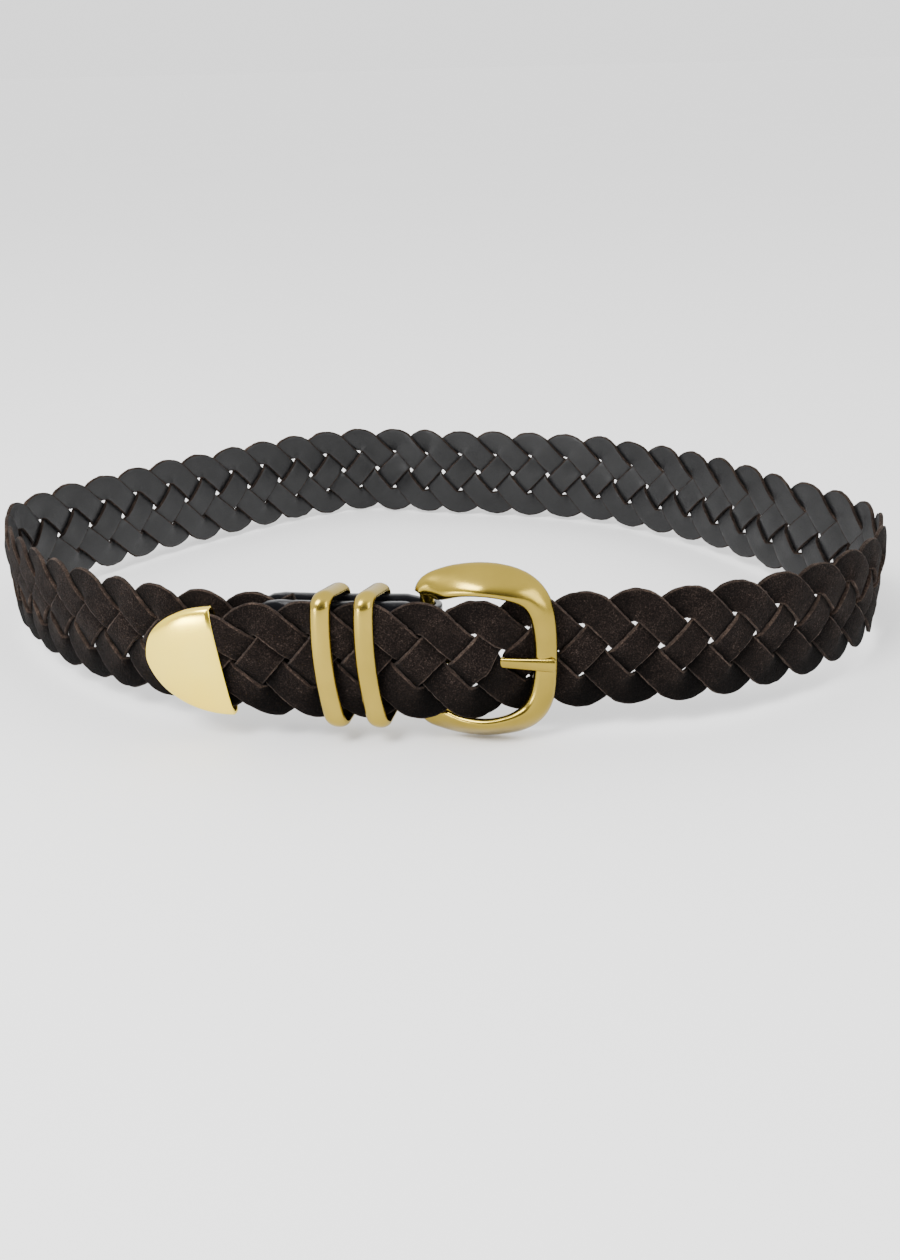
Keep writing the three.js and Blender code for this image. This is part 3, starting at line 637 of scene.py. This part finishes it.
def strip_piece(index):
    """One strip over its whole length: suede outside, smooth leather inside, raw edges."""
    points, c = strip_surface(index)
    flat = wrap_on_strap(uneven(points))
    along = np.gradient(flat, axis=0)
    across = np.gradient(flat, axis=1)
    normal = np.cross(along, across)
    normal /= np.linalg.norm(normal, axis=-1)[..., None]
    outward = flat * (1, 1, 0)
    flip = np.sign((normal * outward).sum(-1).mean())
    normal = normal * flip
    across /= np.linalg.norm(across, axis=-1)[..., None]
    rows = []
    # lift holds each point's share of the painted shade, which the suede and raw edge materials read.
    lift = []
    crown = -points[..., 1] / CROWN_HEIGHT
    half = thickness_at(c * STRIP_WIDTH / (STRIP_WIDTH - 2 * CORNER)) / 2
    rough = grit((len(flat), GRIT_COLUMNS), GRIT_SEED + index) * GRIT

    def face(side):
        for j in range(COLUMNS)[::side]:
            rows.append(flat[:, j] + normal[:, j] * (side * half[j]))
            lift.append(painted_shade_factor(side * crown[:, j]))

    def edge(side, noise):
        j = COLUMNS - 1 if side > 0 else 0
        for k, (out, up) in enumerate(EDGE_SPOTS[::side]):
            reach = side * (CORNER * out + rough[:, noise + k])
            rows.append(flat[:, j] + across[:, j] * reach[:, None] + normal[:, j] * (up * half[j]))
            lift.append(painted_shade_factor(crown[:, j]))

    face(1)
    edge(1, 0)
    face(-1)
    edge(-1, len(EDGE_SPOTS))
    ring = np.stack(rows, 1)
    size = ring.shape[1]
    faces = ring_faces(len(flat), size)
    outside, inside, cut = range(3)
    edge_faces = [cut] * (len(EDGE_SPOTS) + 1)
    kinds = [outside] * (COLUMNS - 1) + edge_faces + [inside] * (COLUMNS - 1) + edge_faces
    face_material = kinds * (len(flat) - 1) + [cut, cut]
    if flip < 0:
        faces = [f[::-1] for f in faces]
    name = f"strip_{index + 1}"
    piece = mesh_object(name, ring.reshape(-1, 3), faces, [SUEDE, INSIDE, RAW_EDGE], face_material)
    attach(piece, "root")
    # The painted shade goes on the points as the attribute lift.
    values = piece.data.attributes.new("lift", "FLOAT", "POINT")
    values.data.foreach_set("value", np.stack(lift, 1).ravel())
    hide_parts(f"braid_strip_{index + 1}")


for index in range(STRIP_COUNT):
    strip_piece(index)


def superellipse(points, power):
    """Points of a rounded outline in a square of two by two."""
    turn = np.arange(points) * 2 * math.pi / points
    c, s = np.cos(turn), np.sin(turn)
    return np.sign(c) * np.abs(c) ** (2 / power), np.sign(s) * np.abs(s) ** (2 / power)


def through(rows, per_span, closed):
    """Rows of values joined smoothly, with per_span steps from one row to the next."""
    rows = np.asarray(rows, float)
    count = len(rows)
    result = []
    for i in range(count if closed else count - 1):
        pick = [(i + k) % count if closed else min(max(i + k, 0), count - 1) for k in (-1, 0, 1, 2)]
        p0, p1, p2, p3 = rows[pick]
        t = (np.arange(per_span) / per_span)[:, None]
        result.append(0.5 * (2 * p1 + (p2 - p0) * t + (2 * p0 - 5 * p1 + 4 * p2 - p3) * t**2
                             + (3 * p1 - p0 - 3 * p2 + p3) * t**3))
    if not closed:
        result.append(rows[-1:])
    return np.concatenate(result)


def loft(name, rings, material, closed=False, sharp=35, replaced=None):
    """A brass solid through an array of rings, turned so that its faces look outwards."""
    count, size = rings.shape[:2]
    faces = ring_faces(count, size, closed)
    flat = rings.reshape(-1, 3)
    volume = 0
    centre = flat.mean(0)
    for f in faces:
        a, b, c = flat[f[0]] - centre, flat[f[1]] - centre, flat[f[2]] - centre
        volume += np.dot(a, np.cross(b, c))
        if len(f) == 4:
            volume += np.dot(a, np.cross(c, flat[f[3]] - centre))
    if volume < 0:
        faces = [tuple(f)[::-1] for f in faces]
    piece = mesh_object(name, flat, faces, [material], sharp=sharp)
    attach(piece, "root")
    if replaced:
        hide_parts(replaced)


# Sections of the frame's upper half from the heel bar to the front bar. Columns: along, rise, out,
# width and depth as shares of the frame's sizes, and lean in degrees.
FRAME_SECTIONS = [
    (0, 0, 0, 0.449, 0.8, 0),
    (0, 0.75, 0, 0.449, 0.8, 0),
    (-0.03, 0.795, 0.04, 0.56, 0.76, 6),
    (0.02, 0.865, 0.2, 0.8, 0.76, 20),
    (0.12, 0.925, 0.42, 1.0, 0.76, 38),
    (0.27, 0.99, 0.62, 1.12, 0.76, 49),
    (0.45, 1.014, 0.8, 1.22, 0.76, 53),
    (0.62, 0.988, 0.88, 1.2, 0.76, 50),
    (0.77, 0.915, 0.94, 1.08, 0.8, 42),
    (0.88, 0.785, 0.97, 0.92, 0.84, 31),
    (0.945, 0.59, 1, 0.8, 0.88, 20),
    (0.975, 0.33, 1, 0.73, 0.92, 10),
    (0.985, 0, 1, 0.7, 0.94, 3),
]
FRAME_STEPS = 9
FRAME_RING = 48
FRAME_ROUNDNESS = 2.35


def frame_rings():
    """Rounded sections round the frame, its lower half the mirror image of its upper half."""
    rows = np.array(FRAME_SECTIONS)
    path = np.concatenate([rows, rows[1:-1][::-1]])
    side = np.concatenate([np.ones(len(rows)), -np.ones(len(rows) - 2)])
    along, rise, out, width, depth, lean = path.T
    values = np.stack([
        HEEL_BAR_X + along * FRAME_LENGTH,
        -out * FRONT_BAR_OUT,
        FRAME_LIFT + side * rise * FRAME_RISE,
        width * ARM_WIDTH / 2,
        depth * FRONT_BAR_DEPTH / 2,
        np.radians(lean),
    ], 1)
    x, y, z, half_width, half_depth, lean = through(values, FRAME_STEPS, True).T
    way = np.stack([np.roll(x, -1) - np.roll(x, 1), np.roll(z, -1) - np.roll(z, 1)], 1)
    way /= np.linalg.norm(way, axis=1)[:, None]
    ax, az = -way[:, 1], way[:, 0]
    c, s = np.cos(lean), np.sin(lean)
    u, v = superellipse(FRAME_RING, FRAME_ROUNDNESS)
    u = u * half_width[:, None]
    v = -v * half_depth[:, None]
    plane = u * c[:, None] - v * s[:, None]
    return wrap(np.stack([
        x[:, None] + ax[:, None] * plane,
        y[:, None] + u * s[:, None] + v * c[:, None],
        z[:, None] + az[:, None] * plane,
    ], -1))


loft("frame_look", frame_rings(), FRAME_BRASS, closed=True, sharp=None, replaced="buckle_frame")

EYE_INNER_RADIUS = HEEL_BAR_RADIUS + CLEARANCE
EYE_OUTER_RADIUS = EYE_INNER_RADIUS + PRONG_EYE_WALL
EYE_HEIGHT = 0.8 * PRONG_WIDTH
SHANK_OVER_BAR = 0.204
SHANK_END_X = FRONT_BAR_X + SHANK_OVER_BAR * ARM_WIDTH
SHANK_START_X = HEEL_BAR_X + (EYE_INNER_RADIUS + EYE_OUTER_RADIUS) / 2
SHANK_START_OUT = 1.4
SHANK_SEAT_OUT = FRONT_BAR_OUT + FRONT_BAR_DEPTH / 2 - PRONG_SEAT_DEPTH + CLEARANCE
SHANK_END_OUT = SHANK_SEAT_OUT + PRONG_THICKNESS / 2
SHANK_ROUNDING = 0.8
SHANK_END_SMALLER = 0.26


def shank_rings():
    """The prong's shank, thin in the braid, full at the front bar and rounded at its tip."""
    middle = PRONG_HOLE_X - PRONG_WIDTH / 2
    rounding_x = SHANK_END_X - SHANK_ROUNDING
    x = np.concatenate([
        np.linspace(SHANK_START_X, middle, 12, endpoint=False),
        np.linspace(middle, rounding_x, 22),
        rounding_x + SHANK_ROUNDING * np.array([0.35, 0.65, 0.85, 0.96, 1.0]),
    ])
    share = np.interp(x, [SHANK_START_X, middle, rounding_x], [0.65, 0.7, 1])
    end = np.clip((x - rounding_x) / SHANK_ROUNDING, 0, 1)
    share = share * (1 - SHANK_END_SMALLER * (1 - np.sqrt(1 - 0.98 * end**2)))
    out = np.interp(x, [SHANK_START_X, SHANK_END_X], [SHANK_START_OUT, SHANK_END_OUT])
    u, v = superellipse(28, 2.8)
    return wrap(np.stack([
        x[:, None] + 0 * u,
        -out[:, None] + v * share[:, None] * PRONG_THICKNESS / 2,
        PRONG_Z + u * share[:, None] * PRONG_WIDTH / 2,
    ], -1))


def eye_rings():
    """The prong's eye round the heel bar."""
    steps = 40
    turn = np.arange(steps) * 2 * math.pi / steps
    u, v = superellipse(20, 3)
    middle = (EYE_INNER_RADIUS + EYE_OUTER_RADIUS) / 2
    radius = middle + u * PRONG_EYE_WALL / 2
    return wrap(np.stack([
        HEEL_BAR_X + np.cos(turn)[:, None] * radius,
        np.sin(turn)[:, None] * radius,
        PRONG_Z + v * EYE_HEIGHT / 2 + 0 * turn[:, None],
    ], -1))


loft("prong_look", shank_rings(), FRAME_BRASS, replaced="buckle_prong")
loft("prong_eye_look", eye_rings(), FRAME_BRASS, closed=True)

# How far a keeper's front bows along the strap and out of it, at its middle.
KEEPER_BOW = 1.3
KEEPER_BELLY = 1.1
KEEPER_RIM = 0.15
KEEPER_INNER_RIM = 0.12
KEEPER_INNER_POINTS = 8
KEEPER_DOME_POINTS = 26
KEEPER_SIDE_STEPS = 18
KEEPER_END_STEPS = 5


def keeper_rings(x):
    """Sections of a domed band on its way round the tab and the strap."""
    strap_height = BRAID_HALF_HEIGHT + KEEPER_ROOM_Z
    tab_height = TAB_HALF_HEIGHT + KEEPER_ROOM_Z + CLEARANCE
    out_y = -(OVERLAP_OFFSET + BRAID_HALF_THICKNESS + KEEPER_ROOM_Y)
    in_y = TAB_LAYER_Y + TAB_THICKNESS / 2 + KEEPER_ROOM_Y
    back, front = KEEPER_BACK_CORNER, KEEPER_FRONT_CORNER
    corners = [
        (in_y - back, tab_height - back, back, 0),
        (out_y + front, strap_height - front, front, 90),
        (out_y + front, -strap_height + front, front, 180),
        (in_y - back, -tab_height + back, back, 270),
    ]
    route = []
    for k, (y, z, corner, start) in enumerate(corners):
        for angle in np.radians(start + np.arange(0, 91, 9)):
            route.append((y, z, corner, angle))
        next_y, next_z, next_corner, _ = corners[(k + 1) % 4]
        straight = KEEPER_SIDE_STEPS if k % 2 else KEEPER_END_STEPS
        for t in np.arange(1, straight) / straight:
            route.append((y + (next_y - y) * t, z + (next_z - z) * t,
                          corner + (next_corner - corner) * t, math.radians(start + 90)))
    y, z, corner, angle = np.array(route).T[..., None]
    across = np.concatenate([
        np.linspace(-1, 1, KEEPER_INNER_POINTS),
        np.cos(np.linspace(0, math.pi, KEEPER_DOME_POINTS))[1:-1],
    ])
    dome = np.clip(1 - np.abs(across) ** 2.1, 0, None) ** 0.6
    domed = np.arange(len(across)) >= KEEPER_INNER_POINTS
    out = np.where(domed, KEEPER_RIM + (1 - KEEPER_RIM) * dome, 0)
    out[[0, KEEPER_INNER_POINTS - 1]] = KEEPER_INNER_RIM
    radius = corner + out * KEEPER_THICKNESS
    height = z + radius * np.sin(angle)
    depth = y + radius * np.cos(angle)
    forward = smooth((depth - in_y) / (out_y - in_y))
    belly = forward * (1 - (height / strap_height) ** 2)
    shift = KEEPER_SKEW * (depth - out_y) - math.tan(math.radians(KEEPER_LEAN)) * height
    return wrap(np.stack([
        x + across * KEEPER_WIDTH / 2 + shift - KEEPER_BOW * belly,
        depth - KEEPER_BELLY * belly,
        height,
    ], -1))


for number, x in enumerate(KEEPER_X, 1):
    rings = keeper_rings(x)
    loft(f"keeper_look_{number}", rings, KEEPER_BRASS, closed=True, replaced=f"keeper_{number}")

CAP_NOSE_ANGLE = 1.5
CAP_FIRST_ANGLE = 6
CAP_RINGS = 26
CAP_RING_POINTS = 56
# Powers that make the cap's section flat in front and behind and full above and below.
CAP_DEPTH_POWER = 0.5
CAP_HEIGHT_POWER = 0.85


def cap_rings():
    """The cap from its nose to its mouth, round the rim and back inside to the nose."""
    angles = np.radians([CAP_NOSE_ANGLE, *np.linspace(CAP_FIRST_ANGLE, 90, CAP_RINGS)])
    rounding = 0.35 * CAP_WALL
    rows = []
    for inside in (0, 1):
        length = CAP_LENGTH - 2 * CAP_WALL * inside
        for angle in (angles[::-1] if inside else angles):
            rows.append((CAP_MOUTH_X - length * math.cos(angle), angle, CAP_WALL * inside))
        if not inside:
            rows[-1] = (CAP_MOUTH_X - rounding, angles[-1], 0)
            rows.append((CAP_MOUTH_X, angles[-1], rounding))
            rows.append((CAP_MOUTH_X, angles[-1], CAP_WALL - rounding))
    c, s = superellipse(CAP_RING_POINTS, 2)
    rings = []
    for x, angle, less in rows:
        nose = CAP_NOSE_SHARE + (1 - CAP_NOSE_SHARE) * math.sin(angle)
        depth = CAP_HALF_THICKNESS * nose - less
        height = (CAP_HALF_HEIGHT - less) * math.sin(angle)
        rings.append(np.stack([
            np.full(CAP_RING_POINTS, x),
            depth * np.sign(s) * np.abs(s) ** CAP_DEPTH_POWER,
            -height * np.sign(c) * np.abs(c) ** CAP_HEIGHT_POWER,
        ], -1))
    return wrap_on_strap(np.array(rings), narrowed=False)


loft("cap_look", cap_rings(), CAP_BRASS, sharp=40, replaced="end_cap")

# Shares of the tab's length and height, from its tongue shaped end to the heel bar.
TONGUE_LENGTH = 0.18
TONGUE = [
    (0, 0.5), (0.018, 0.72), (0.055, 0.88), (0.11, 0.97), (TONGUE_LENGTH, 1),
    (0.88, 1), (1, TAB_HEEL_SHARE),
]
TONGUE_ROWS = 22
TAB_ROWS = 44
TAB_BEND_ROWS = 20
TAB_COLUMNS = 36
TAB_EDGE = 0.55
TAB_LIFT_SHARE = 1 / 7
TAB_EDGE_POINT = 0.35
SLOT_HALF_HEIGHT = EYE_HEIGHT / 2 + 2 * CLEARANCE
SLOT_START_X = HEEL_BAR_X - 1.5 * TAB_LAYER_Y


def tab_piece():
    """The tab, folded round the heel bar, with rounded edges and a slot for the prong's eye."""
    end_x = HEEL_BAR_X - TAB_LENGTH
    share = np.concatenate([
        np.linspace(0, TONGUE_LENGTH, TONGUE_ROWS),
        np.linspace(TONGUE_LENGTH, 1, TAB_ROWS)[1:],
    ])
    straight_x = end_x + share * TAB_LENGTH
    straight_h = np.interp(share, *np.array(TONGUE).T) * TAB_HALF_HEIGHT
    bend = np.linspace(-math.pi / 2, math.pi / 2, TAB_BEND_ROWS)[1:-1]
    x = np.concatenate([straight_x, HEEL_BAR_X + TAB_LAYER_Y * np.cos(bend), straight_x[::-1]])
    y = np.concatenate([0 * share - TAB_LAYER_Y, TAB_LAYER_Y * np.sin(bend), 0 * share + TAB_LAYER_Y])
    h = np.concatenate([straight_h, 0 * bend + TAB_HEEL_SHARE * TAB_HALF_HEIGHT, straight_h[::-1]])
    nx = np.concatenate([0 * share, np.cos(bend), 0 * share])
    ny = np.concatenate([0 * share - 1, np.sin(bend), 0 * share + 1])
    edge = TAB_EDGE / TAB_HALF_HEIGHT
    slot = (PRONG_Z + np.array([-1, 1]) * SLOT_HALF_HEIGHT) / TAB_HALF_HEIGHT
    up = np.concatenate([
        [-1, -1 + edge * TAB_EDGE_POINT, -1 + edge],
        np.linspace(-1 + edge, slot[0], TAB_COLUMNS // 2)[1:],
        np.linspace(slot[1], 1 - edge, TAB_COLUMNS // 2),
        [1 - edge * TAB_EDGE_POINT, 1],
    ])
    rounded = np.interp(1 - np.abs(up), [0, edge * TAB_EDGE_POINT, edge], [0.45, 0.84, 1])
    thick = rounded * TAB_THICKNESS / 2
    lift = FRAME_LIFT * ramp(x, HEEL_BAR_X - TAB_LENGTH * TAB_LIFT_SHARE, HEEL_BAR_X)
    z = lift[:, None] + h[:, None] * up
    # The slot's edges keep their height where the tab narrows and lifts.
    slot_row = TAB_COLUMNS // 2 + 1
    z[:, slot_row] = PRONG_Z - SLOT_HALF_HEIGHT
    z[:, slot_row + 1] = PRONG_Z + SLOT_HALF_HEIGHT
    sides = []
    for side in (1, -1):
        offset = side * thick
        sides.append(wrap(np.stack([
            x[:, None] + nx[:, None] * offset,
            y[:, None] + ny[:, None] * offset,
            z,
        ], -1)))
    rows, columns = z.shape
    cut = (x[:-1] > SLOT_START_X)[:, None] & (np.arange(columns - 1) == slot_row)[None]
    points = np.concatenate([side.reshape(-1, 3) for side in sides])
    half = rows * columns
    faces = []

    def here(i, j):
        return i * columns + j

    for i in range(rows - 1):
        for j in range(columns - 1):
            if cut[i, j]:
                continue
            quad = [here(i, j), here(i, j + 1), here(i + 1, j + 1), here(i + 1, j)]
            faces.append(quad[::-1])
            faces.append([half + k for k in quad])
            for a, b, open_side in (
                (quad[0], quad[1], i == 0 or cut[i - 1, j]),
                (quad[1], quad[2], j == columns - 2 or cut[i, j + 1]),
                (quad[2], quad[3], i == rows - 2 or cut[i + 1, j]),
                (quad[3], quad[0], j == 0 or cut[i, j - 1]),
            ):
                if open_side:
                    faces.append([a, b, half + b, half + a])
    piece = mesh_object("tab_look", points, faces, [TAB_LEATHER], sharp=35)
    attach(piece, "root")
    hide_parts("buckle_tab")


tab_piece()

# The floor, wide enough to reach the horizon and just under the belt.
FLOOR_REACH = 60
FLOOR_HEIGHT = -0.0006
floor_material = Nodes("floor")
floor_material.colour(floor_material.colours(floor_material.noise(3, 2), [
    (0.3, (0.91, 0.91, 0.91)), (0.7, (0.92, 0.92, 0.92)),
]))
floor_material.set(Roughness=0.9)
floor_mesh = bpy.data.meshes.new("floor")
corners = [(x * FLOOR_REACH, y * FLOOR_REACH, 0) for x, y in ((-1, -1), (1, -1), (1, 1), (-1, 1))]
floor_mesh.from_pydata(corners, [], [(0, 1, 2, 3)])
floor_mesh.materials.append(floor_material.material)
floor = bpy.data.objects.new("floor", floor_mesh)
floor.location.z = FLOOR_HEIGHT
bpy.context.collection.objects.link(floor)

# A studio that is white behind and above the belt and darker on the buckle's side.
SKY_STRENGTH = 1.3
world = bpy.data.worlds.new("world")
world.use_nodes = True
sky = world.node_tree
direction = sky.nodes.new("ShaderNodeTexCoord").outputs["Generated"]
parts = sky.nodes.new("ShaderNodeSeparateXYZ")
sky.links.new(direction, parts.inputs["Vector"])


def sky_ramp(axis, low, high):
    """A grey that goes from low to high along an axis, each a pair of direction and value."""
    node = sky.nodes.new("ShaderNodeMapRange")
    node.interpolation_type = "SMOOTHSTEP"
    for end, (at, value) in (("Min", low), ("Max", high)):
        node.inputs[f"From {end}"].default_value = at
        node.inputs[f"To {end}"].default_value = value
    sky.links.new(parts.outputs[axis], node.inputs["Value"])
    return node.outputs["Result"]


both = sky.nodes.new("ShaderNodeMath")
both.operation = "MULTIPLY"
sky.links.new(sky_ramp("Y", (-0.95, 0.12), (-0.3, 1.0)), both.inputs[0])
sky.links.new(sky_ramp("Z", (0.0, 1.25), (0.5, 1.6)), both.inputs[1])
sky.links.new(both.outputs["Value"], sky.nodes["Background"].inputs["Color"])
sky.nodes["Background"].inputs["Strength"].default_value = SKY_STRENGTH
bpy.context.scene.world = world


def area_light(name, where, target, size, power):
    """A rectangular light that faces its target."""
    data = bpy.data.lights.new(name, "AREA")
    data.shape = "RECTANGLE"
    data.size, data.size_y = size
    data.energy = power
    light = bpy.data.objects.new(name, data)
    light.location = where
    way = np.array(target, float) - np.array(where, float)
    way /= np.linalg.norm(way)
    side = np.cross(way, (0, 0, 1.0))
    side /= np.linalg.norm(side)
    up = np.cross(side, way)
    light.matrix_world = Matrix((
        *((side[k], up[k], -way[k], where[k]) for k in range(3)),
        (0, 0, 0, 1),
    ))
    bpy.context.collection.objects.link(light)


# Places and sizes in metres, power in watts.
area_light("key", (-0.5, -0.7, 0.95), (0, 0, 0), (0.45, 0.45), 18)
area_light("fill", (0.8, -0.8, 0.45), (0, 0, 0), (0.25, 0.6), 3.5)
area_light("card", (-0.85, -1.05, 0.12), (-0.02, -0.12, 0.02), (0.4, 0.24), 7)
area_light("top", (0.0, 0.0, 1.3), (0, 0, 0), (1.2, 0.6), 22)
